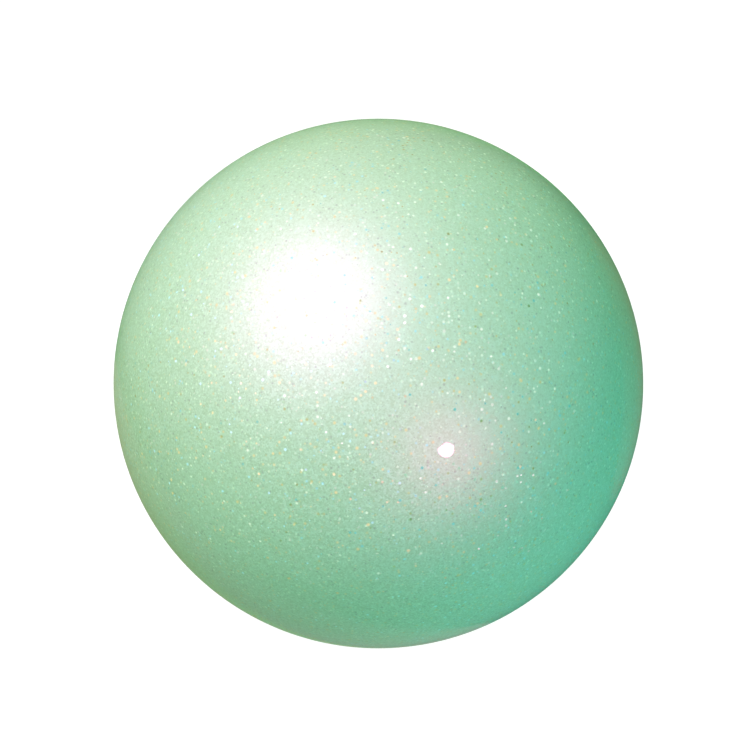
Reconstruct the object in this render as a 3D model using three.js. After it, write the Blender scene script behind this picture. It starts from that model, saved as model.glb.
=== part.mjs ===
// A rhythmic gymnastics ball: a pearl pressure wall inside a clear glitter skin, with an
// air valve on the +Y axis made of a soft rubber seat and a ribbed push-in plug.
// Millimetres, +Z up. The origin is the centre of the ball, and the plug pulls out along +Y.

import * as THREE from "three";

// Driving dimensions of the ball, in millimetres
const BALL_DIAMETER = 185;
const SKIN_THICKNESS = 0.6;
const WALL_THICKNESS = 2.5;
const BOND_LINE = 0.3; // between two pieces that are bonded to each other

// Driving dimensions of the plug
const HEAD_DIAMETER = 7.6;
const HEAD_THICKNESS = 1.1; // at the edge of the head
const HEAD_CROWN = 0.35; // rise of the domed face above its edge
const HEAD_EDGE_ROUND = 0.4;
const SHANK_ROOT_DIAMETER = 4.6; // over the ribs, under the head
const SHANK_TIP_DIAMETER = 3.6; // over the ribs, at the tip
const SHANK_LENGTH = 12;
const RIB_COUNT = 4;
const RIB_DEPTH = 0.35;
const PLUG_CLEARANCE = 0.15; // between the plug and its seat

// Driving dimensions of the seat
const HEAD_RECESS = 0.15; // crown of the seated head below the rim
const PULLER_GAP = 0.9; // ring round the head where tweezers grip it
const RIM_WIDTH = 2.4;
const RIM_RECESS = 0.2; // flat rim below the edge of the hole in the ball
const RIM_EDGE_ROUND = 0.35;
const FLANGE_WIDTH = 10; // beyond the collar
const FLANGE_THICKNESS = 1.8;
const FLANGE_EDGE = 0.5; // feathered edge of the flange
const FLANGE_FILLET = 1.6;
const STEM_WALL = 2.3;
const STEM_REACH = 2.2; // stem beyond the tip of the plug
const STEM_END_ROUND = 1.2;

// Facets
const BALL_SIDES = 48;
const BALL_ARC_STEPS = 11; // from the equator to either end
const VALVE_SIDES = 24;
const VALVE_ARC_STEPS = 3;
const STEPS_PER_RIB = 6;

// Radii of the layers, from the outside in
const skinOuter = BALL_DIAMETER / 2;
const skinInner = skinOuter - SKIN_THICKNESS;
const wallOuter = skinInner - BOND_LINE;
const wallInner = wallOuter - WALL_THICKNESS;
const flangeOuter = wallInner - BOND_LINE;

// Radii round the valve axis
const headRadius = HEAD_DIAMETER / 2;
const pocketRadius = headRadius + PULLER_GAP;
const collarRadius = pocketRadius + RIM_WIDTH;
const holeRadius = collarRadius + BOND_LINE;
const flangeRadius = collarRadius + FLANGE_WIDTH;

// Heights along the valve axis
const rimHeight = heightOnSphere(skinOuter, holeRadius) - RIM_RECESS;
const crownHeight = rimHeight - HEAD_RECESS;
const headEdgeHeight = crownHeight - HEAD_CROWN;
const shankTop = headEdgeHeight - HEAD_THICKNESS;
const pocketFloor = shankTop - PLUG_CLEARANCE;
const shankTip = shankTop - SHANK_LENGTH;
const stemEnd = shankTip - STEM_REACH;

// Height above the ball's centre of a point on a sphere, at a distance from the valve axis
function heightOnSphere(sphereRadius, distance) {
  return Math.sqrt(sphereRadius ** 2 - distance ** 2);
}

// Profiles are drawn in the plane of the valve axis: x is the distance from that axis, and y
// is the height along it. An arc runs anticlockwise where its end angle is the larger one.
function arc(centreX, centreY, radius, startAngle, endAngle, steps) {
  const clockwise = endAngle < startAngle;
  const curve = new THREE.EllipseCurve(
    centreX, centreY, radius, radius, startAngle, endAngle, clockwise,
  );
  return curve.getPoints(steps);
}

function point(x, y) {
  return new THREE.Vector2(x, y);
}

// Arc of a ball layer from the pole opposite the valve to the valve hole. It has a point on
// the equator, so that the facets keep the full diameter. The stretch that the seat's flange
// lies against has finer steps, so that the two stay parallel.
function layerArc(radius) {
  const farPole = -Math.PI / 2;
  const equator = 0;
  const flangeEdge = Math.acos((flangeRadius + BOND_LINE) / radius);
  const holeEdge = Math.acos(holeRadius / radius);
  const farHalf = arc(0, 0, radius, farPole, equator, BALL_ARC_STEPS);
  const nearHalf = arc(0, 0, radius, equator, flangeEdge, BALL_ARC_STEPS);
  const nearValve = arc(0, 0, radius, flangeEdge, holeEdge, VALVE_ARC_STEPS);
  return [...farHalf, ...nearHalf.slice(1), ...nearValve.slice(1)];
}

// Hollow layer of the ball, open at the valve hole
function layerProfile(outerRadius, innerRadius) {
  return [...layerArc(outerRadius), ...layerArc(innerRadius).reverse()];
}

// Radius over the ribs of the tapered shank, at a height along the valve axis
function shankRadius(height) {
  const share = (shankTop - height) / SHANK_LENGTH;
  return THREE.MathUtils.lerp(SHANK_ROOT_DIAMETER, SHANK_TIP_DIAMETER, share) / 2;
}

function boreRadius(height) {
  return shankRadius(height) + PLUG_CLEARANCE;
}

// The seat: a collar through the wall with a flat rim and a pocket for the plug's head, a
// feathered flange against the inside of the wall, and a stem with the tapered bore
function seatProfile() {
  const quarter = Math.PI / 2;
  const stemRadius = boreRadius(pocketFloor) + STEM_WALL;
  const filletFoot = stemRadius + FLANGE_FILLET;
  const flangeUnder = heightOnSphere(flangeOuter, filletFoot) - FLANGE_THICKNESS;
  const flangeEdgeTop = heightOnSphere(flangeOuter, flangeRadius);
  const stemCorner = [stemRadius - STEM_END_ROUND, stemEnd + STEM_END_ROUND];
  const filletCentre = [filletFoot, flangeUnder - FLANGE_FILLET];
  const rimOuterCorner = [collarRadius - RIM_EDGE_ROUND, rimHeight - RIM_EDGE_ROUND];
  const rimInnerCorner = [pocketRadius + RIM_EDGE_ROUND, rimHeight - RIM_EDGE_ROUND];
  const collarFoot = Math.acos(collarRadius / flangeOuter);
  const flangeFoot = Math.acos(flangeRadius / flangeOuter);
  const loop = [
    point(boreRadius(stemEnd), stemEnd),
    ...arc(...stemCorner, STEM_END_ROUND, -quarter, 0, VALVE_ARC_STEPS),
    ...arc(...filletCentre, FLANGE_FILLET, 2 * quarter, quarter, VALVE_ARC_STEPS),
    point(flangeRadius, flangeEdgeTop - FLANGE_EDGE),
    ...arc(0, 0, flangeOuter, flangeFoot, collarFoot, VALVE_ARC_STEPS),
    ...arc(...rimOuterCorner, RIM_EDGE_ROUND, 0, quarter, VALVE_ARC_STEPS),
    ...arc(...rimInnerCorner, RIM_EDGE_ROUND, quarter, 2 * quarter, VALVE_ARC_STEPS),
    point(pocketRadius, pocketFloor),
    point(boreRadius(pocketFloor), pocketFloor),
  ];
  return [...loop, loop[0].clone()];
}

// The plug: a round nose, a tapered shank with sealing ribs, and a domed head
function plugProfile() {
  const quarter = Math.PI / 2;
  const noseRadius = SHANK_TIP_DIAMETER / 2 - RIB_DEPTH;
  const noseTop = shankTip + noseRadius;
  const ribbedLength = shankTop - noseTop;
  const ribSteps = RIB_COUNT * STEPS_PER_RIB;
  const shank = [];
  for (let step = 0; step <= ribSteps; step += 1) {
    const height = noseTop + (ribbedLength * step) / ribSteps;
    const wave = (1 + Math.cos((2 * Math.PI * step) / STEPS_PER_RIB)) / 2;
    shank.push(point(shankRadius(height) - RIB_DEPTH * wave, height));
  }
  const edgeRadius = Math.min(HEAD_EDGE_ROUND, HEAD_THICKNESS / 2);
  const edgeCentre = headRadius - edgeRadius;
  const crownRadius = (edgeCentre ** 2 + HEAD_CROWN ** 2) / (2 * HEAD_CROWN);
  const crownStart = Math.acos(edgeCentre / crownRadius);
  const crownCentre = crownHeight - crownRadius;
  return [
    ...arc(0, noseTop, noseRadius, -quarter, 0, VALVE_ARC_STEPS).slice(0, -1),
    ...shank,
    ...arc(edgeCentre, shankTop + edgeRadius, edgeRadius, -quarter, 0, VALVE_ARC_STEPS),
    ...arc(edgeCentre, headEdgeHeight - edgeRadius, edgeRadius, 0, quarter, VALVE_ARC_STEPS),
    ...arc(0, crownCentre, crownRadius, crownStart, quarter, VALVE_ARC_STEPS).slice(1),
  ];
}

// A solid of revolution about the valve axis, which is the lathe's own +Y axis
function turned(name, profile, sides, finish) {
  const geometry = new THREE.LatheGeometry(profile, sides);
  const mesh = new THREE.Mesh(geometry, new THREE.MeshStandardMaterial(finish));
  mesh.name = name;
  return mesh;
}

const glitterFinish = { color: 0xa8dfbc, roughness: 0.2, metalness: 0.1 };
const pearlFinish = { color: 0x7fcfa8, roughness: 0.45, metalness: 0.1 };
const rubberFinish = { color: 0xb9d8c6, roughness: 0.7, metalness: 0 };
const plugFinish = { color: 0xf1f3ee, roughness: 0.4, metalness: 0 };

const ball = new THREE.Group();
ball.add(
  turned("glitter_skin", layerProfile(skinOuter, skinInner), BALL_SIDES, glitterFinish),
  turned("pearl_wall", layerProfile(wallOuter, wallInner), BALL_SIDES, pearlFinish),
  turned("valve_seat", seatProfile(), VALVE_SIDES, rubberFinish),
  turned("valve_plug", plugProfile(), VALVE_SIDES, plugFinish),
);

export default ball;
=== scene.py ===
import math
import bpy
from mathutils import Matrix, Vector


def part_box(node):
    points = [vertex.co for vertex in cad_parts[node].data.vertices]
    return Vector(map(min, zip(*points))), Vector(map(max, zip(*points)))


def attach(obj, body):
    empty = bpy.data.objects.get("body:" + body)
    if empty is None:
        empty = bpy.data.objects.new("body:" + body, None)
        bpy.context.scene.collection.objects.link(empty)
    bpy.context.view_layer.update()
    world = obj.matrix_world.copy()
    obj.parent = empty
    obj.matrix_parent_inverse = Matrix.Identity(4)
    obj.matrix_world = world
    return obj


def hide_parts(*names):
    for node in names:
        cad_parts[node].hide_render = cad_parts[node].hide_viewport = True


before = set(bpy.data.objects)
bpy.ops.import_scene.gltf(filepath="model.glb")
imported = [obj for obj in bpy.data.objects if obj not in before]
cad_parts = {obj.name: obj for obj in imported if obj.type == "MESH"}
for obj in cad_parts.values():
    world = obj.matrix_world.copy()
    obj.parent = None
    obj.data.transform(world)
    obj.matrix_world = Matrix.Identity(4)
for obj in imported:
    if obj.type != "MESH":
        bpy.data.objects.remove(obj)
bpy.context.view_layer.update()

from types import SimpleNamespace

import bmesh
import bpy
from bpy.props import FloatProperty, FloatVectorProperty, IntProperty, PointerProperty
from mathutils import Vector

bl_info = {
    "name": "Rhythmic Gymnastics Ball",
    "version": (1, 0, 0),
    "blender": (4, 5, 0),
    "location": "View3D > Sidebar > Gym Ball",
    "description": "Builds a pearl gymnastics ball with a glitter skin and an air valve, and its stage",
    "category": "Object",
}

# The photograph's frame, in pixels, and the ball's outline in it
IMAGE_WIDTH = 750
IMAGE_HEIGHT = 745
OUTLINE_CENTRE = (378.4, 383.5)
OUTLINE_RADIUS = 264.9
SENSOR_WIDTH = 36.0

SKIN_LOW, SKIN_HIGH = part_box("glitter_skin")
MILLIMETRES = 1000  # in a metre
FULL_TURN = 2 * math.pi
QUARTER_TURN = math.pi / 2
SHARP_ANGLE = math.radians(38)
MERGE_DISTANCE = 1e-7

# Facets: steps along the arcs of a profile, sides round the valve axis, segments of a round
SKIN_STEPS = 48
SKIN_SIDES = 192
WALL_STEPS = 36
WALL_SIDES = 144
FLANGE_STEPS = 12
NOSE_STEPS = 10
CROWN_STEPS = 16
VALVE_SIDES = 96
FILLET_SEGMENTS = 8
EDGE_SEGMENTS = 6
LIP_SEGMENTS = 5
SMALL_SEGMENTS = 4
FEATHER_SEGMENTS = 3

# Small rounds, in metres
FLANGE_FILLET = 0.0016
STEM_END_ROUND = 0.0012
RIM_EDGE_ROUND = 0.00035
POCKET_ROUND = 0.00025
FLANGE_EDGE_ROUND = 0.00015
HEAD_EDGE_ROUND = 0.0004
HEAD_FOOT_ROUND = 0.0003
GATE_ROUND = 0.00012

# Rounds and widths as a share of the feature that they belong to
SKIN_LIP_SHARE = 0.4
WALL_LIP_SHARE = 0.2
RIB_ROUND_SHARE = 0.4
GATE_FLOOR_SHARE = 0.6

# Scale and shift of the two patches in the skin's map: the outer face, and all the rest
OUTER_PATCH = (0.46, 0.462)
REST_PATCH = (0.034, 0.964)

# Flakes: the range of their sizes, and the share of a flake over which it fades at its edge
FLAKE_SIZES = (0.5, 1.4)
FLAKE_FADE = 0.65
MIDDLE_DRAW = (0.5, 0.5, 0.5)

# Roughness from one end of a mask or shade to the other, and how dark the deep tones are
PEARL_TO_GLINT_ROUGHNESS = (0.55, 0.48)
WALL_ROUGHNESS = (0.4, 0.55)
RUBBER_ROUGHNESS = (0.55, 0.75)
PLASTIC_ROUGHNESS = (0.32, 0.45)
WALL_DEEP_SHARE = 0.8
MOULDED_DEEP_SHARE = 0.82

# Places of the sockets that share a label with others on their node
MIX_COLOUR_INPUTS = (6, 7)
MIX_COLOUR_OUTPUT = 2
MIX_VECTOR_INPUTS = (4, 5)
MIX_VECTOR_OUTPUT = 1

FLOOR_REACH = 6.0
WHITE = (1.0, 1.0, 1.0)


def millimetres(name, description, value):
    """Makes a length property whose default is given in millimetres."""
    return FloatProperty(
        name=name, description=description, default=value / MILLIMETRES,
        min=0.0, precision=5, subtype="DISTANCE", unit="LENGTH",
    )


def colour(name, description, value):
    """Makes a colour property whose default is a linear colour."""
    return FloatVectorProperty(
        name=name, description=description, default=value,
        size=3, min=0.0, max=1.0, subtype="COLOR",
    )


class GYMBALL_PG_sizes(bpy.types.PropertyGroup):
    """Sizes of the ball and its valve"""

    ball_diameter: millimetres(
        "Ball diameter", "Across the outside of the skin", MILLIMETRES * (SKIN_HIGH.x - SKIN_LOW.x),
    )
    skin_thickness: millimetres("Skin thickness", "Clear layer that holds the glitter", 0.6)
    wall_thickness: millimetres("Wall thickness", "Pressure wall under the skin", 2.5)
    bond_line: millimetres("Bond line", "Between two pieces bonded to each other", 0.3)
    head_diameter: millimetres("Head diameter", "Head of the plug", 7.6)
    head_thickness: millimetres("Head thickness", "At the edge of the head", 1.1)
    head_crown: millimetres("Head crown", "Rise of the domed face above its edge", 0.35)
    head_recess: millimetres("Head recess", "Crown of the seated head below the rim", 0.15)
    gate_diameter: millimetres("Gate mark", "Shallow dimple in the middle of the head", 1.8)
    gate_depth: millimetres("Gate depth", "Depth of that dimple", 0.12)
    shank_root: millimetres("Shank root", "Over the ribs, under the head", 4.6)
    shank_tip: millimetres("Shank tip", "Over the ribs, at the tip", 3.6)
    shank_length: millimetres("Shank length", "From the head to the end of the nose", 12.0)
    rib_depth: millimetres("Rib depth", "Depth of the grooves between the ribs", 0.35)
    rib_count: IntProperty(
        name="Ribs", description="Sealing ribs on the shank", default=4, min=1, max=12,
    )
    plug_clearance: millimetres("Plug clearance", "Between the plug and its seat", 0.15)
    puller_gap: millimetres("Puller gap", "Ring round the head where tweezers grip it", 0.9)
    rim_width: millimetres("Rim width", "Flat rim round the pocket", 2.4)
    rim_recess: millimetres("Rim recess", "Rim below the edge of the hole in the ball", 0.2)
    flange_width: millimetres("Flange width", "Flange beyond the collar", 10.0)
    flange_thickness: millimetres("Flange thickness", "Flange at the stem", 1.8)
    flange_edge: millimetres("Flange edge", "Feathered edge of the flange", 0.5)
    stem_wall: millimetres("Stem wall", "Rubber round the bore", 2.3)
    stem_reach: millimetres("Stem reach", "Stem beyond the tip of the plug", 2.2)


class GYMBALL_PG_finishes(bpy.types.PropertyGroup):
    """Colours and grain of the finishes"""

    pearl_deep: colour("Pearl, deep", "Darker grains of the pearl", (0.31, 0.54, 0.28))
    pearl_pale: colour("Pearl, pale", "Paler grains of the pearl", (0.44, 0.70, 0.45))
    pearl_sheen: colour("Pearl sheen", "Tint of the pearl's broad shine", (1.0, 0.48, 0.91))
    dust_plain: colour("Dust, plain", "Soft flakes of the pearl's own tone", (0.376, 0.62, 0.36))
    # The pale and rosy soft flakes are painted sparkle, paler than the pearl as if they caught the light.
    # The aqua ones are the flakes' own cool tone. The dark ones are painted shade, as on flakes turned
    # from the light.
    dust_painted_sparkle: colour("Dust, pale", "Pale soft flakes", (0.51, 0.79, 0.49))
    dust_painted_rosy_sparkle: colour("Dust, rosy", "Rosy soft flakes", (0.62, 0.70, 0.52))
    dust_aqua: colour("Dust, aqua", "Cool soft flakes", (0.29, 0.66, 0.52))
    dust_painted_shade: colour("Dust, dark", "Soft flakes that lie in shade", (0.23, 0.40, 0.225))
    glint_gold: colour("Glint, gold", "Gold flakes", (0.60, 0.59, 0.19))
    # White and blue glints are painted sparkle: they are paler than the pearl in the base colour, as
    # flakes that catch the light would be. The blue ones also have their own cool tint.
    glint_white_painted_sparkle: colour("Glint, white", "White bright flakes", (0.61, 0.83, 0.54))
    glint_blue_and_painted_sparkle: colour("Glint, blue", "The few cool bright flakes", (0.35, 0.78, 0.70))
    wall_pearl: colour("Wall pearl", "Pressure wall under the skin", (0.21, 0.62, 0.39))
    rubber: colour("Valve rubber", "Seat of the valve", (0.44, 0.66, 0.54))
    plastic: colour("Plug plastic", "Plug of the valve", (0.86, 0.88, 0.83))
    grain_size: millimetres("Pearl grain", "From one pearl grain to the next", 0.5)
    dust_size: millimetres("Dust spacing", "From one soft flake to the next", 1.2)
    glint_size: millimetres("Glint spacing", "From one bright flake to the next", 1.7)
    gold_size: millimetres("Gold spacing", "From one gold flake to the next", 3.2)
    gold_lean: FloatVectorProperty(
        name="Gold lean", description="Way that the gold flakes lean, as the skin flowed in its mould",
        default=(-0.13, -0.11, 0.27), subtype="DIRECTION",
    )


class GYMBALL_PG_stage(bpy.types.PropertyGroup):
    """Camera and lights"""

    elevation: FloatProperty(
        name="Camera elevation", description="Angle of the camera above the floor",
        default=math.radians(33), subtype="ANGLE", unit="ROTATION",
    )
    lens: FloatProperty(
        name="Lens", description="Focal length in millimetres", default=100.0, unit="CAMERA",
    )
    key_power: FloatProperty(
        name="Key softbox", description="Softbox above and to the left", default=8.25, unit="POWER",
    )
    lamp_power: FloatProperty(
        name="Lamp", description="Small lamp low on the right", default=2.04, unit="POWER",
    )
    fill_power: FloatProperty(
        name="Fill", description="Soft light on matt surfaces from all sides", default=10.0, unit="POWER",
    )
    room: colour("Room", "Dim room round the ball, as it lights and mirrors", (0.03, 0.03, 0.03))


# Profiles are drawn in the plane z = 0: x is the distance from the valve axis, and y the
# height along it. Each helper draws on from the tip of the profile and returns the new tip.

def start_profile(x, y):
    """Starts a profile with one vertex."""
    mesh = bmesh.new()
    return mesh, mesh.verts.new((x, y, 0))


def run_to(mesh, tip, x, y):
    """Draws a straight edge to a point."""
    made = bmesh.ops.extrude_vert_indiv(mesh, verts=[tip])
    end = made["verts"][0]
    bmesh.ops.translate(mesh, verts=[end], vec=Vector((x, y, 0)) - end.co)
    return end


def sweep_about(mesh, tip, centre_height, angle, steps):
    """Draws an arc round a point on the valve axis, anticlockwise for a positive angle."""
    made = bmesh.ops.spin(
        mesh, geom=[tip], cent=(0, centre_height, 0), axis=(0, 0, 1), dvec=(0, 0, 0),
        angle=angle, steps=steps, use_merge=False, use_normal_flip=False, use_duplicate=False,
    )
    return made["geom_last"][0]


def round_corners(mesh, corners, radius, segments):
    """Rounds corners of a profile."""
    bmesh.ops.bevel(
        mesh, geom=corners, offset=radius, offset_type="OFFSET", segments=segments,
        profile=0.5, affect="VERTICES", material=-1,
    )


def turn_solid(mesh, sides):
    """Turns a profile about the valve axis into a closed solid."""
    bmesh.ops.spin(
        mesh, geom=mesh.verts[:] + mesh.edges[:], cent=(0, 0, 0), axis=(0, 1, 0),
        dvec=(0, 0, 0), angle=FULL_TURN, steps=sides, use_merge=True,
        use_normal_flip=False, use_duplicate=False,
    )
    bmesh.ops.remove_doubles(mesh, verts=mesh.verts[:], dist=MERGE_DISTANCE)
    bmesh.ops.recalc_face_normals(mesh, faces=mesh.faces[:])
    for face in mesh.faces:
        face.smooth = True
    for edge in mesh.edges:
        edge.smooth = edge.calc_face_angle(0.0) < SHARP_ANGLE


def make_piece(name, mesh, material, body, node):
    """Makes a piece of a finished mesh, which rides on a body and stands for a CAD node."""
    data = bpy.data.meshes.new(name)
    mesh.to_mesh(data)
    mesh.free()
    data.materials.append(material)
    piece = bpy.data.objects.new(name, data)
    bpy.context.scene.collection.objects.link(piece)
    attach(piece, body)
    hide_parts(node)


def height_on_sphere(radius, distance):
    """Gives the height of a point on a sphere at a distance from the valve axis."""
    return math.sqrt(radius ** 2 - distance ** 2)


def valve_layout(sizes):
    """Works out the radii and heights that the layers and the valve share."""
    lay = SimpleNamespace()
    lay.skin_outer = sizes.ball_diameter / 2
    lay.skin_inner = lay.skin_outer - sizes.skin_thickness
    lay.wall_outer = lay.skin_inner - sizes.bond_line
    lay.wall_inner = lay.wall_outer - sizes.wall_thickness
    lay.flange_outer = lay.wall_inner - sizes.bond_line
    lay.head = sizes.head_diameter / 2
    lay.pocket = lay.head + sizes.puller_gap
    lay.collar = lay.pocket + sizes.rim_width
    lay.hole = lay.collar + sizes.bond_line
    lay.flange = lay.collar + sizes.flange_width
    lay.rim = height_on_sphere(lay.skin_outer, lay.hole) - sizes.rim_recess
    lay.crown = lay.rim - sizes.head_recess
    lay.head_edge = lay.crown - sizes.head_crown
    lay.shank_top = lay.head_edge - sizes.head_thickness
    lay.pocket_floor = lay.shank_top - sizes.plug_clearance
    lay.shank_tip = lay.shank_top - sizes.shank_length
    lay.stem_end = lay.shank_tip - sizes.stem_reach
    return lay


def shank_radius(sizes, lay, height):
    """Gives the radius over the ribs of the tapered shank at a height."""
    share = (lay.shank_top - height) / sizes.shank_length
    return (sizes.shank_root + (sizes.shank_tip - sizes.shank_root) * share) / 2


def draw_layer(outer, inner, hole, lip_round, steps):
    """Draws a hollow layer of the ball, open at the valve hole, with rounded lips."""
    to_hole_outer = math.acos(hole / outer)
    to_hole_inner = math.acos(hole / inner)
    mesh, tip = start_profile(0, -outer)
    tip = sweep_about(mesh, tip, 0, QUARTER_TURN, steps)
    outer_lip = sweep_about(mesh, tip, 0, to_hole_outer, steps)
    inner_lip = run_to(mesh, outer_lip, hole, height_on_sphere(inner, hole))
    tip = sweep_about(mesh, inner_lip, 0, -to_hole_inner, steps)
    sweep_about(mesh, tip, 0, -QUARTER_TURN, steps)
    round_corners(mesh, [outer_lip, inner_lip], lip_round, LIP_SEGMENTS)
    return mesh


def flatten_octant(place, side):
    """Gives an equal-area place on a square for a place on a sphere, folded at the far half."""
    share = math.sqrt(max(0.0, 1 - abs(place.y)))
    turn = math.atan2(abs(place.z), abs(place.x)) / QUARTER_TURN
    across = share * (1 - turn)
    along = share * turn
    if side.y < 0:
        across, along = 1 - along, 1 - across
    return math.copysign(across, side.x), math.copysign(along, side.z)


def lay_out_skin(mesh, outer, inner):
    """Gives the skin a map with nearly all of it for the outer face."""
    layer = mesh.loops.layers.uv.new("OFBake")
    middle = (outer + inner) / 2
    for face in mesh.faces:
        side = face.calc_center_median()
        seen = side.length > middle and face.normal.dot(side) > 0
        scale, shift = OUTER_PATCH if seen else REST_PATCH
        for loop in face.loops:
            across, along = flatten_octant(loop.vert.co.normalized(), side)
            loop[layer].uv = (shift + scale * across, shift + scale * along)


# Node helpers

def add_node(tree, kind, **settings):
    """Adds a node and sets its own settings."""
    node = tree.nodes.new(kind)
    for name, value in settings.items():
        setattr(node, name, value)
    return node


def math_node(tree, operation, first, second):
    """Adds a Math node between a socket and a socket or number, and returns its output."""
    node = add_node(tree, "ShaderNodeMath", operation=operation)
    tree.links.new(first, node.inputs[0])
    if isinstance(second, bpy.types.NodeSocket):
        tree.links.new(second, node.inputs[1])
    else:
        node.inputs[1].default_value = second
    return node.outputs[0]


def vector_node(tree, operation, first, second=None):
    """Adds a Vector Math node on a socket and a vector or a scale, and returns its output."""
    node = add_node(tree, "ShaderNodeVectorMath", operation=operation)
    tree.links.new(first, node.inputs[0])
    if operation == "SCALE":
        tree.links.new(second, node.inputs["Scale"])
    elif isinstance(second, bpy.types.NodeSocket):
        tree.links.new(second, node.inputs[1])
    elif second is not None:
        node.inputs[1].default_value = second
    return node.outputs[0]


def mix_colours(tree, share, first, second):
    """Mixes two colours or sockets by a socket, and returns the mixed colour."""
    node = add_node(tree, "ShaderNodeMix", data_type="RGBA")
    tree.links.new(share, node.inputs["Factor"])
    for place, value in zip(MIX_COLOUR_INPUTS, (first, second)):
        if isinstance(value, bpy.types.NodeSocket):
            tree.links.new(value, node.inputs[place])
        else:
            node.inputs[place].default_value = (*value, 1.0)
    return node.outputs[MIX_COLOUR_OUTPUT]


def mix_normals(tree, share, first, second):
    """Mixes two normals by a socket, and returns the mixed normal."""
    node = add_node(tree, "ShaderNodeMix", data_type="VECTOR")
    tree.links.new(share, node.inputs["Factor"])
    for place, value in zip(MIX_VECTOR_INPUTS, (first, second)):
        tree.links.new(value, node.inputs[place])
    return node.outputs[MIX_VECTOR_OUTPUT]


def spread(tree, value, low, high):
    """Spreads a value from 0 to 1 over a range, and returns the result."""
    node = add_node(tree, "ShaderNodeMapRange")
    tree.links.new(value, node.inputs["Value"])
    node.inputs["To Min"].default_value = low
    node.inputs["To Max"].default_value = high
    return node.outputs["Result"]


def draw_tints(tree, draw, tints):
    """Picks a tint for each flake by its draw, and returns the colour."""
    node = add_node(tree, "ShaderNodeValToRGB")
    ramp = node.color_ramp
    ramp.interpolation = "CONSTANT"
    ramp.elements.remove(ramp.elements[1])
    ramp.elements[0].color = (*tints[0][1], 1.0)
    for share, tint in tints[1:]:
        ramp.elements.new(share).color = (*tint, 1.0)
    tree.links.new(draw, node.inputs["Fac"])
    return node.outputs["Color"]


def new_group(name, inputs, outputs):
    """Makes a shader node group with named inputs and outputs."""
    group = bpy.data.node_groups.new(name, "ShaderNodeTree")
    for label, value in inputs:
        socket = group.interface.new_socket(label, in_out="INPUT", socket_type="NodeSocketFloat")
        socket.default_value = value
    for label, kind in outputs:
        group.interface.new_socket(label, in_out="OUTPUT", socket_type=kind)
    return group, group.nodes.new("NodeGroupInput"), group.nodes.new("NodeGroupOutput")


def flake_group():
    """Makes the flakes: a mask, a draw from 0 to 1 and a tilted normal for each flake."""
    name = "Pearl Flakes"
    if name in bpy.data.node_groups:
        return bpy.data.node_groups[name]
    group, given, put = new_group(
        name,
        [("Flakes per Metre", 1000.0), ("Radius", 0.3), ("Tilt", 1.0)],
        [("Mask", "NodeSocketFloat"), ("Draw", "NodeSocketFloat"), ("Normal", "NodeSocketVector")],
    )
    link = group.links.new
    place = add_node(group, "ShaderNodeTexCoord")
    cells = add_node(group, "ShaderNodeTexVoronoi", voronoi_dimensions="3D")
    link(place.outputs["Object"], cells.inputs["Vector"])
    link(given.outputs["Flakes per Metre"], cells.inputs["Scale"])
    lots = add_node(group, "ShaderNodeTexWhiteNoise", noise_dimensions="3D")
    link(cells.outputs["Color"], lots.inputs["Vector"])
    split = add_node(group, "ShaderNodeSeparateColor")
    link(cells.outputs["Color"], split.inputs["Color"])
    size = spread(group, split.outputs["Red"], *FLAKE_SIZES)
    reach = math_node(group, "MULTIPLY", given.outputs["Radius"], size)
    inside = math_node(group, "SUBTRACT", reach, cells.outputs["Distance"])
    edge = math_node(group, "MULTIPLY", reach, FLAKE_FADE)
    soft = add_node(group, "ShaderNodeMath", operation="DIVIDE", use_clamp=True)
    link(inside, soft.inputs[0])
    link(edge, soft.inputs[1])
    link(soft.outputs[0], put.inputs["Mask"])
    link(lots.outputs["Value"], put.inputs["Draw"])
    lean = vector_node(group, "SUBTRACT", lots.outputs["Color"], MIDDLE_DRAW)
    lean = vector_node(group, "SCALE", lean, given.outputs["Tilt"])
    smooth = add_node(group, "ShaderNodeNewGeometry")
    tilted = vector_node(group, "ADD", smooth.outputs["Normal"], lean)
    link(vector_node(group, "NORMALIZE", tilted), put.inputs["Normal"])
    return group


def moulded_group():
    """Makes the faint grain that a mould leaves: a height and a shade."""
    name = "Moulded Grain"
    if name in bpy.data.node_groups:
        return bpy.data.node_groups[name]
    group, given, put = new_group(
        name,
        [("Grains per Metre", 3000.0), ("Marks per Metre", 300.0)],
        [("Height", "NodeSocketFloat"), ("Shade", "NodeSocketFloat")],
    )
    link = group.links.new
    place = add_node(group, "ShaderNodeTexCoord")
    fine = add_node(group, "ShaderNodeTexNoise")
    fine.inputs["Detail"].default_value = 3.0
    broad = add_node(group, "ShaderNodeTexNoise")
    broad.inputs["Detail"].default_value = 5.0
    for texture, label in ((fine, "Grains per Metre"), (broad, "Marks per Metre")):
        link(place.outputs["Object"], texture.inputs["Vector"])
        link(given.outputs[label], texture.inputs["Scale"])
    link(fine.outputs["Fac"], put.inputs["Height"])
    link(broad.outputs["Fac"], put.inputs["Shade"])
    return group


def place_group(tree, group, **values):
    """Places a group in a material with its own values."""
    node = add_node(tree, "ShaderNodeGroup", node_tree=group)
    for name, value in values.items():
        node.inputs[name.replace("_", " ")].default_value = value
    return node


def new_material(name, **constants):
    """Makes a material with a Principled shader whose plain sockets are set."""
    material = bpy.data.materials.new(name)
    material.use_nodes = True
    shader = material.node_tree.nodes["Principled BSDF"]
    for label, value in constants.items():
        shader.inputs[label.replace("_", " ")].default_value = value
    return material, material.node_tree, shader


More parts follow.
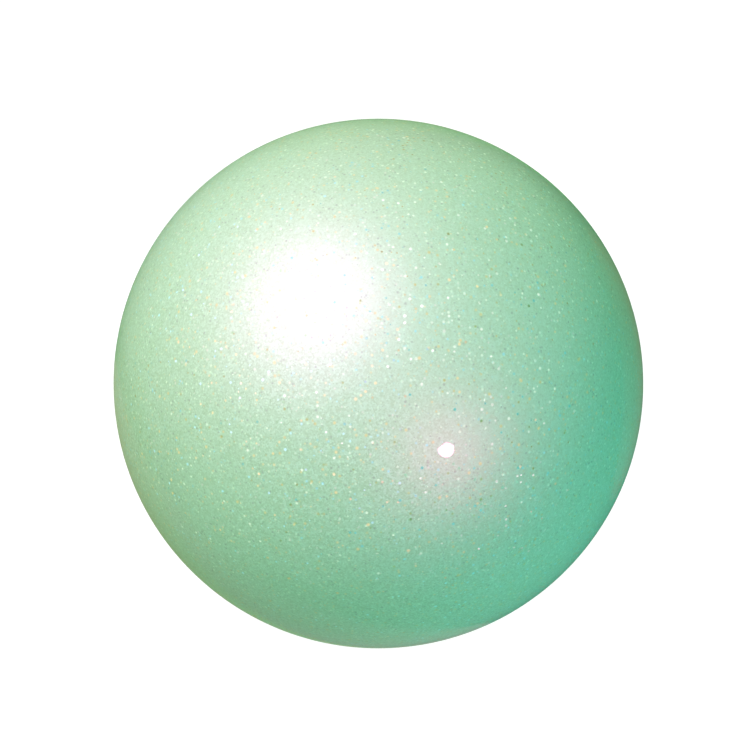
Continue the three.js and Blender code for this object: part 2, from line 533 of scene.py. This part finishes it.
def glitter_skin_material(finishes):
    """Clear gloss over mint pearl with fine glitter. Its pale and rosy soft flakes and its white and blue
    glints are painted sparkle, and its dark soft flakes are painted shade.
    """
    material, tree, shader = new_material(
        "Glitter Skin", IOR=2.45, Specular_IOR_Level=1.0,
        Specular_Tint=(*finishes.pearl_sheen, 1.0),
        Coat_Weight=0.5, Coat_Roughness=0.03, Coat_IOR=1.5,
    )
    link = tree.links.new
    flakes = flake_group()
    grain = place_group(tree, flakes, Flakes_per_Metre=1 / finishes.grain_size, Radius=0.4, Tilt=0.1)
    dust = place_group(tree, flakes, Flakes_per_Metre=1 / finishes.dust_size, Radius=0.36, Tilt=0.1)
    glint = place_group(tree, flakes, Flakes_per_Metre=1 / finishes.glint_size, Radius=0.28, Tilt=0.9)
    gold = place_group(tree, flakes, Flakes_per_Metre=1 / finishes.gold_size, Radius=0.17, Tilt=0.5)
    # Soft flakes: plain and aqua are the pearl's own tones, pale and rosy are painted sparkle, and dark
    # is painted shade.
    dust_tints_and_painted_light = draw_tints(tree, dust.outputs["Draw"], (
        (0.0, finishes.dust_plain),
        (0.50, finishes.dust_painted_sparkle),
        (0.70, finishes.dust_painted_rosy_sparkle),
        (0.78, finishes.dust_aqua),
        (0.82, finishes.dust_painted_shade),
    ))
    # Bright flakes: gold is the flakes' own tint, and white and blue are painted sparkle.
    glint_tints_with_painted_sparkle = draw_tints(tree, glint.outputs["Draw"], (
        (0.0, finishes.glint_white_painted_sparkle),
        (0.45, finishes.glint_gold),
        (0.80, finishes.glint_blue_and_painted_sparkle),
    ))
    dust_mask_with_painted_light = dust.outputs["Mask"]
    lit = glint.outputs["Mask"]
    golden = gold.outputs["Mask"]
    colours = mix_colours(tree, grain.outputs["Draw"], finishes.pearl_deep, finishes.pearl_pale)
    # Mixes in the soft flakes, which carry painted sparkle and painted shade.
    colours = mix_colours(tree, dust_mask_with_painted_light, colours, dust_tints_and_painted_light)
    # Mixes in the bright flakes, which carry painted sparkle.
    colours = mix_colours(tree, lit, colours, glint_tints_with_painted_sparkle)
    colours = mix_colours(tree, golden, colours, finishes.glint_gold)
    link(colours, shader.inputs["Base Color"])
    link(spread(tree, lit, *PEARL_TO_GLINT_ROUGHNESS), shader.inputs["Roughness"])
    normal = mix_normals(tree, dust_mask_with_painted_light, grain.outputs["Normal"], dust.outputs["Normal"])
    normal = mix_normals(tree, lit, normal, glint.outputs["Normal"])
    leaning = vector_node(tree, "ADD", gold.outputs["Normal"], finishes.gold_lean)
    leaning = vector_node(tree, "NORMALIZE", leaning)
    link(mix_normals(tree, golden, normal, leaning), shader.inputs["Normal"])
    return material


def pearl_wall_material(finishes):
    """Satin pearl rubber."""
    material, tree, shader = new_material("Pearl Wall", IOR=1.6)
    link = tree.links.new
    grain = place_group(
        tree, flake_group(), Flakes_per_Metre=1 / finishes.grain_size, Radius=0.4, Tilt=0.3,
    )
    deep = [WALL_DEEP_SHARE * part for part in finishes.wall_pearl]
    colours = mix_colours(tree, grain.outputs["Draw"], deep, finishes.wall_pearl)
    link(colours, shader.inputs["Base Color"])
    link(spread(tree, grain.outputs["Draw"], *WALL_ROUGHNESS), shader.inputs["Roughness"])
    link(grain.outputs["Normal"], shader.inputs["Normal"])
    return material


def moulded_material(name, tone, roughness, depth, **scales):
    """Moulded rubber or plastic with a faint grain."""
    material, tree, shader = new_material(name, IOR=1.5)
    link = tree.links.new
    grain = place_group(tree, moulded_group(), **scales)
    deep = [MOULDED_DEEP_SHARE * part for part in tone]
    link(mix_colours(tree, grain.outputs["Shade"], deep, tone), shader.inputs["Base Color"])
    link(spread(tree, grain.outputs["Shade"], *roughness), shader.inputs["Roughness"])
    bump = add_node(tree, "ShaderNodeBump")
    bump.inputs["Distance"].default_value = depth
    link(grain.outputs["Height"], bump.inputs["Height"])
    link(bump.outputs["Normal"], shader.inputs["Normal"])
    return material


class GYMBALL_OT_skin(bpy.types.Operator):
    """Make the clear glitter skin"""

    bl_idname = "gymball.skin"
    bl_label = "Glitter Skin"

    def execute(self, context):
        sizes = context.scene.gymball_sizes
        lay = valve_layout(sizes)
        lip_round = SKIN_LIP_SHARE * sizes.skin_thickness
        mesh = draw_layer(lay.skin_outer, lay.skin_inner, lay.hole, lip_round, SKIN_STEPS)
        turn_solid(mesh, SKIN_SIDES)
        lay_out_skin(mesh, lay.skin_outer, lay.skin_inner)
        material = glitter_skin_material(context.scene.gymball_finishes)
        make_piece("ball_skin", mesh, material, "ball", "glitter_skin")
        return {"FINISHED"}


class GYMBALL_OT_wall(bpy.types.Operator):
    """Make the pearl pressure wall"""

    bl_idname = "gymball.wall"
    bl_label = "Pearl Wall"

    def execute(self, context):
        sizes = context.scene.gymball_sizes
        lay = valve_layout(sizes)
        lip_round = WALL_LIP_SHARE * sizes.wall_thickness
        mesh = draw_layer(lay.wall_outer, lay.wall_inner, lay.hole, lip_round, WALL_STEPS)
        turn_solid(mesh, WALL_SIDES)
        material = pearl_wall_material(context.scene.gymball_finishes)
        make_piece("wall_shell", mesh, material, "ball", "pearl_wall")
        return {"FINISHED"}


class GYMBALL_OT_seat(bpy.types.Operator):
    """Make the valve's rubber seat"""

    bl_idname = "gymball.seat"
    bl_label = "Valve Seat"

    def execute(self, context):
        sizes = context.scene.gymball_sizes
        lay = valve_layout(sizes)
        clearance = sizes.plug_clearance
        bore_top = shank_radius(sizes, lay, lay.pocket_floor) + clearance
        bore_end = shank_radius(sizes, lay, lay.stem_end) + clearance
        stem = bore_top + sizes.stem_wall
        under = height_on_sphere(lay.flange_outer, stem) - sizes.flange_thickness
        edge_top = height_on_sphere(lay.flange_outer, lay.flange)
        mesh, bore_mouth = start_profile(bore_end, lay.stem_end)
        stem_foot = run_to(mesh, bore_mouth, stem, lay.stem_end)
        fillet = run_to(mesh, stem_foot, stem, under)
        edge_low = run_to(mesh, fillet, lay.flange, edge_top - sizes.flange_edge)
        edge_high = run_to(mesh, edge_low, lay.flange, edge_top)
        along = math.acos(lay.collar / lay.flange_outer) - math.acos(lay.flange / lay.flange_outer)
        collar_foot = sweep_about(mesh, edge_high, 0, along, FLANGE_STEPS)
        rim_outer = run_to(mesh, collar_foot, lay.collar, lay.rim)
        rim_inner = run_to(mesh, rim_outer, lay.pocket, lay.rim)
        pocket_foot = run_to(mesh, rim_inner, lay.pocket, lay.pocket_floor)
        bore_lip = run_to(mesh, pocket_foot, bore_top, lay.pocket_floor)
        mesh.edges.new((bore_lip, bore_mouth))
        round_corners(mesh, [fillet], FLANGE_FILLET, FILLET_SEGMENTS)
        round_corners(mesh, [stem_foot], STEM_END_ROUND, FILLET_SEGMENTS)
        round_corners(mesh, [rim_outer, rim_inner], RIM_EDGE_ROUND, EDGE_SEGMENTS)
        round_corners(mesh, [bore_mouth, bore_lip, pocket_foot], POCKET_ROUND, SMALL_SEGMENTS)
        round_corners(mesh, [edge_low, edge_high], FLANGE_EDGE_ROUND, FEATHER_SEGMENTS)
        turn_solid(mesh, VALVE_SIDES)
        finishes = context.scene.gymball_finishes
        material = moulded_material(
            "Valve Rubber", finishes.rubber, RUBBER_ROUGHNESS, depth=0.00006,
            Grains_per_Metre=4000.0, Marks_per_Metre=260.0,
        )
        make_piece("seat_rubber", mesh, material, "ball", "valve_seat")
        return {"FINISHED"}


class GYMBALL_OT_plug(bpy.types.Operator):
    """Make the valve's ribbed plug"""

    bl_idname = "gymball.plug"
    bl_label = "Valve Plug"

    def execute(self, context):
        sizes = context.scene.gymball_sizes
        lay = valve_layout(sizes)
        nose = sizes.shank_tip / 2 - sizes.rib_depth
        nose_top = lay.shank_tip + nose
        rib_length = (lay.shank_top - nose_top) / sizes.rib_count
        edge = lay.head - HEAD_EDGE_ROUND
        crown_radius = (edge ** 2 + sizes.head_crown ** 2) / (2 * sizes.head_crown)
        crown_centre = lay.crown - crown_radius
        gate = sizes.gate_diameter / 2
        gate_floor = lay.crown - sizes.gate_depth
        mesh, tip = start_profile(0, lay.shank_tip)
        tip = sweep_about(mesh, tip, nose_top, QUARTER_TURN, NOSE_STEPS)
        soft = []
        for rib in range(sizes.rib_count):
            crest = nose_top + rib_length * (rib + 0.5)
            groove = nose_top + rib_length * (rib + 1)
            soft.append(run_to(mesh, tip, shank_radius(sizes, lay, crest), crest))
            grooved = shank_radius(sizes, lay, groove) - sizes.rib_depth
            tip = run_to(mesh, soft[-1], grooved, groove)
            soft.append(tip)
        head_low = run_to(mesh, tip, lay.head, lay.shank_top)
        head_high = run_to(mesh, head_low, lay.head, lay.head_edge)
        tip = run_to(mesh, head_high, edge, lay.head_edge)
        angle = math.acos(gate / crown_radius) - math.acos(edge / crown_radius)
        gate_lip = sweep_about(mesh, tip, crown_centre, angle, CROWN_STEPS)
        gate_foot = run_to(mesh, gate_lip, GATE_FLOOR_SHARE * gate, gate_floor)
        run_to(mesh, gate_foot, 0, gate_floor)
        round_corners(mesh, soft[:-1], RIB_ROUND_SHARE * rib_length, EDGE_SEGMENTS)
        round_corners(mesh, soft[-1:], HEAD_FOOT_ROUND, SMALL_SEGMENTS)
        round_corners(mesh, [head_low, head_high], HEAD_EDGE_ROUND, EDGE_SEGMENTS)
        round_corners(mesh, [gate_lip, gate_foot], GATE_ROUND, SMALL_SEGMENTS)
        turn_solid(mesh, VALVE_SIDES)
        finishes = context.scene.gymball_finishes
        material = moulded_material(
            "Plug Plastic", finishes.plastic, PLASTIC_ROUGHNESS, depth=0.00003,
            Grains_per_Metre=5000.0, Marks_per_Metre=400.0,
        )
        make_piece("plug_ribbed", mesh, material, "plug", "valve_plug")
        return {"FINISHED"}


class GYMBALL_OT_stage(bpy.types.Operator):
    """Make the floor, the lights and the camera"""

    bl_idname = "gymball.stage"
    bl_label = "Stage"

    def execute(self, context):
        scene = context.scene
        stage = scene.gymball_stage
        radius = scene.gymball_sizes.ball_diameter / 2
        scene.view_settings.view_transform = "Standard"
        self.make_floor(scene, radius)
        self.make_room(scene, stage)
        lift = stage.elevation
        axes = SimpleNamespace(
            right=Vector((1, 0, 0)),
            up=Vector((0, math.sin(lift), math.cos(lift))),
            toward=Vector((0, -math.cos(lift), math.sin(lift))),
        )
        self.make_camera(scene, stage, radius, axes)
        for lamp in self.lamps(stage):
            self.make_light(scene, axes, *lamp)
        return {"FINISHED"}

    def lamps(self, stage):
        """Lists each lamp: name, way, distance, size, power, tint, and the shine that it lights.

        A way is given in the camera's own axes: to the right, up, and toward the camera.
        """
        rosy = (1.0, 0.27, 0.57)
        key = stage.key_power
        lamp = stage.lamp_power
        fill = stage.fill_power
        key_way = (-0.4156, 0.5179, 0.7478)
        gloss_way = (-0.4037, 0.5051, 0.7631)
        gloss_tint = (1.0, 0.68, 0.98)
        return (
            ("key_core", gloss_way, 0.93, 0.45, 0.20 * key, gloss_tint, "gloss"),
            ("key_gloss", gloss_way, 0.906, 0.85, 0.42 * key, gloss_tint, "gloss"),
            ("key_soft", gloss_way, 0.88, 1.3, 0.54 * key, gloss_tint, "gloss"),
            ("lamp", (0.4387, -0.4253, 0.7916), 0.837, 0.082, 0.78 * lamp, rosy, "gloss"),
            ("lamp_edge", (0.4083, -0.4269, 0.8069), 0.837, 0.046, 0.22 * lamp, rosy, "gloss"),
            ("key_fill", key_way, 0.906, 0.5, 1.57 * fill, (0.94, 0.86, 0.99), "matt"),
            ("right_fill", (0.93, -0.08, 0.35), 1.0, 0.7, 0.75 * fill, (0.06, 0.97, 0.89), "matt"),
            ("low_fill", (0.27, -0.89, 0.35), 1.0, 0.7, 0.85 * fill, (0.24, 0.81, 1.0), "matt"),
            ("back_fill", (0.10, 0.10, -0.99), 1.2, 1.0, 2.1 * fill, (0.70, 0.82, 1.0), "matt"),
            ("left_edge", (-0.66, -0.74, 0.10), 1.2, 0.8, 0.50 * fill, (0.12, 1.0, 0.02), "matt"),
            ("upper_edge", (0.42, 0.77, -0.48), 1.2, 0.8, 0.59 * fill, (0.73, 1.0, 0.02), "matt"),
            ("low_warm", (0.42, -0.75, 0.51), 0.35, 0.2, 0.015 * fill, (1.0, 0.0, 0.0), "matt"),
            ("right_rim", (0.60, 0.05, -0.80), 1.2, 0.8, 0.033 * fill, (1.0, 0.0, 0.0), "gloss"),
            ("rim_gloss", (-0.47, 0.22, -0.855), 1.2, 2.2, 0.31 * fill, (0.0, 1.0, 0.0), "gloss"),
            ("low_rim", (-0.35, -0.50, -0.79), 1.2, 1.5, 0.19 * fill, (1.0, 0.48, 0.55), "gloss"),
        )

    def make_floor(self, scene, radius):
        """Lays a plain pale floor under the ball."""
        mesh = bmesh.new()
        bmesh.ops.create_grid(mesh, x_segments=1, y_segments=1, size=FLOOR_REACH)
        bmesh.ops.translate(mesh, verts=mesh.verts[:], vec=(0, 0, -radius))
        data = bpy.data.meshes.new("floor")
        mesh.to_mesh(data)
        mesh.free()
        material, _, _ = new_material(
            "Pale Floor", Base_Color=(0.1, 0.1, 0.1, 1.0), Roughness=0.9,
            Specular_IOR_Level=0.0, Emission_Color=(*WHITE, 1.0), Emission_Strength=1.0,
        )
        data.materials.append(material)
        floor = bpy.data.objects.new("floor", data)
        scene.collection.objects.link(floor)
        floor.visible_diffuse = False
        floor.visible_glossy = False
        floor.visible_transmission = False
        floor.visible_shadow = False

    def make_room(self, scene, stage):
        """Sets the light of the room, white to the camera."""
        world = bpy.data.worlds.new("White Room")
        world.use_nodes = True
        scene.world = world
        tree = world.node_tree
        path = add_node(tree, "ShaderNodeLightPath")
        seen = mix_colours(tree, path.outputs["Is Camera Ray"], stage.room, WHITE)
        tree.links.new(seen, tree.nodes["Background"].inputs["Color"])

    def make_camera(self, scene, stage, radius, axes):
        """Sets the camera so that the ball's outline falls where the photograph has it."""
        focal = stage.lens / SENSOR_WIDTH * IMAGE_WIDTH
        distance = radius / math.sin(math.atan(OUTLINE_RADIUS / focal))
        data = bpy.data.cameras.new("camera")
        data.lens = stage.lens
        data.sensor_width = SENSOR_WIDTH
        data.shift_x = (IMAGE_WIDTH / 2 - OUTLINE_CENTRE[0]) / IMAGE_WIDTH
        data.shift_y = (OUTLINE_CENTRE[1] - IMAGE_HEIGHT / 2) / IMAGE_WIDTH
        camera = bpy.data.objects.new("camera", data)
        scene.collection.objects.link(camera)
        camera.location = axes.toward * distance
        camera.rotation_euler = (QUARTER_TURN - stage.elevation, 0, 0)
        scene.camera = camera

    def make_light(self, scene, axes, name, way, distance, size, power, tint, shine):
        """Hangs a round lamp that faces the ball and lights its matt or its gloss shine only."""
        data = bpy.data.lights.new(name, "AREA")
        data.shape = "DISK"
        data.size = size
        data.energy = power
        data.color = tint
        light = bpy.data.objects.new(name, data)
        scene.collection.objects.link(light)
        out = (axes.right * way[0] + axes.up * way[1] + axes.toward * way[2]).normalized()
        light.location = out * distance
        light.rotation_euler = out.to_track_quat("Z", "Y").to_euler()
        light.visible_camera = False
        light.visible_diffuse = shine == "matt"
        light.visible_glossy = shine == "gloss"
        data.cycles.use_multiple_importance_sampling = shine == "gloss"


class GYMBALL_PT_panel(bpy.types.Panel):
    """Lists the pieces of the ball and its stage"""

    bl_idname = "GYMBALL_PT_panel"
    bl_label = "Gymnastics Ball"
    bl_space_type = "VIEW_3D"
    bl_region_type = "UI"
    bl_category = "Gym Ball"

    def draw(self, context):
        layout = self.layout
        for operator in OPERATORS:
            layout.operator(operator.bl_idname)
        for group in ("gymball_sizes", "gymball_finishes", "gymball_stage"):
            settings = getattr(context.scene, group)
            box = layout.box()
            for name in settings.bl_rna.properties.keys():
                if name not in ("rna_type", "name"):
                    box.prop(settings, name)


OPERATORS = (
    GYMBALL_OT_skin,
    GYMBALL_OT_wall,
    GYMBALL_OT_seat,
    GYMBALL_OT_plug,
    GYMBALL_OT_stage,
)
GROUPS = (GYMBALL_PG_sizes, GYMBALL_PG_finishes, GYMBALL_PG_stage)


def register():
    for group in GROUPS + OPERATORS + (GYMBALL_PT_panel,):
        bpy.utils.register_class(group)
    bpy.types.Scene.gymball_sizes = PointerProperty(type=GYMBALL_PG_sizes)
    bpy.types.Scene.gymball_finishes = PointerProperty(type=GYMBALL_PG_finishes)
    bpy.types.Scene.gymball_stage = PointerProperty(type=GYMBALL_PG_stage)


def unregister():
    del bpy.types.Scene.gymball_stage
    del bpy.types.Scene.gymball_finishes
    del bpy.types.Scene.gymball_sizes
    for group in reversed(GROUPS + OPERATORS + (GYMBALL_PT_panel,)):
        bpy.utils.unregister_class(group)


def main():
    register()
    bpy.ops.gymball.skin()
    bpy.ops.gymball.wall()
    bpy.ops.gymball.seat()
    bpy.ops.gymball.plug()
    bpy.ops.gymball.stage()


if __name__ == "__main__":
    main()
